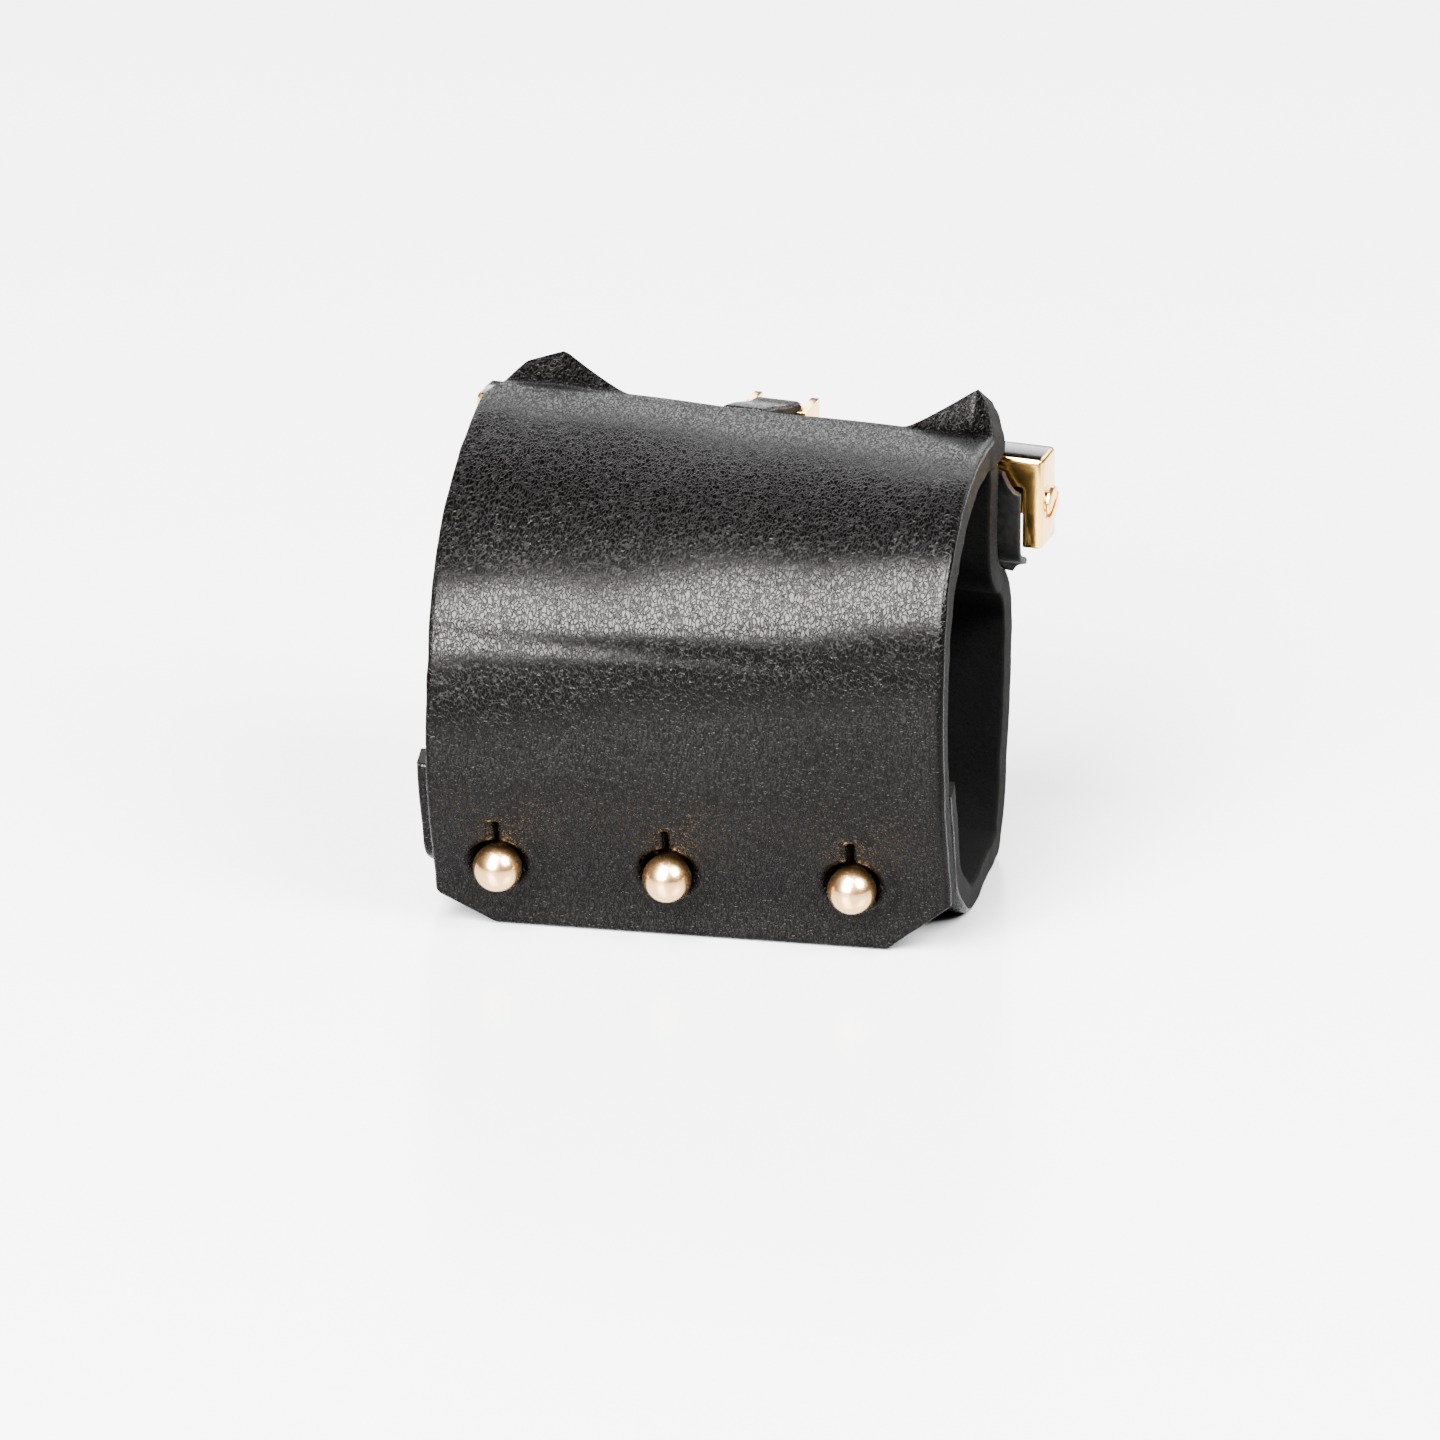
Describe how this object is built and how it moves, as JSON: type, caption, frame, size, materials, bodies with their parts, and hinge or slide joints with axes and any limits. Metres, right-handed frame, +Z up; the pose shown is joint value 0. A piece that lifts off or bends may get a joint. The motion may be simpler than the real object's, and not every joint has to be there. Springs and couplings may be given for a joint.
{
  "type": "saxophone ligature",
  "caption": "Leather saxophone ligature: a conical strap tube buttoned on ball studs in front and tightened behind by a cam lever in a metal hinge frame.",
  "frame": {"origin": "centre of the base, on the surface that the ligature lies on", "axes": "+X along the tube towards its narrow end, -Y towards the ball studs, +Z up"},
  "size_m": [0.045, 0.0358, 0.0363],
  "materials": {
    "leather": "fine-grained, semi-matt, dyed black through",
    "yellow_gold": "polished gold plate",
    "rose_gold": "polished champagne gold plate",
    "steel": "turned, satin",
    "black_plate": "black oxide, satin",
    "black_rubber": "moulded, semi-matt"
  },
  "bodies": {
    "band": {"front_strap": "leather", "back_strap": "leather", "hinge_frame": "yellow_gold", "inner_plate": "black_plate", "frame_pad": "black_rubber", "stud_right": "rose_gold", "stud_washer_right": "steel", "stud_screw_right": "steel", "stud_middle": "rose_gold", "stud_washer_middle": "steel", "stud_screw_middle": "steel", "stud_left": "rose_gold", "stud_washer_left": "steel", "stud_screw_left": "steel", "frame_screw_1": "steel", "frame_screw_2": "steel", "frame_screw_3": "steel", "frame_screw_4": "steel"},
    "flap": {"keyhole_flap": "leather"},
    "lever": {"lever": "yellow_gold", "lever_shaft": "yellow_gold", "bush_right": "black_rubber", "bush_left": "black_rubber", "tension_cam": "black_plate"},
    "pull_clip": {"pull_clip": "yellow_gold", "cam_follower": "steel", "tab_screw": "yellow_gold", "pull_tab": "leather"}
  },
  "joints": [
    {"name": "flap_hinge", "type": "hinge", "parent": "band", "child": "flap", "pos_m": [-0.00078, -0.02211, 0.0204], "axis": [-1, 0, 0], "range_deg": [0, 85]},
    {"name": "lever_hinge", "type": "hinge", "parent": "band", "child": "lever", "pos_m": [0, 0.011, 0.0276], "axis": [0.9903, -0.1393, 0], "range_deg": [0, 100]},
    {"name": "clip_slide", "type": "slide", "parent": "band", "child": "pull_clip", "axis": [0, 0, 1], "range_m": [0, 0.00121], "stiffness_N_per_m": 0.1, "springref_m": 0.0473}
  ],
  "couplings": [
    {"joint": "clip_slide", "follows": "lever_hinge", "m_per_rad": 0.00068755}
  ]
}
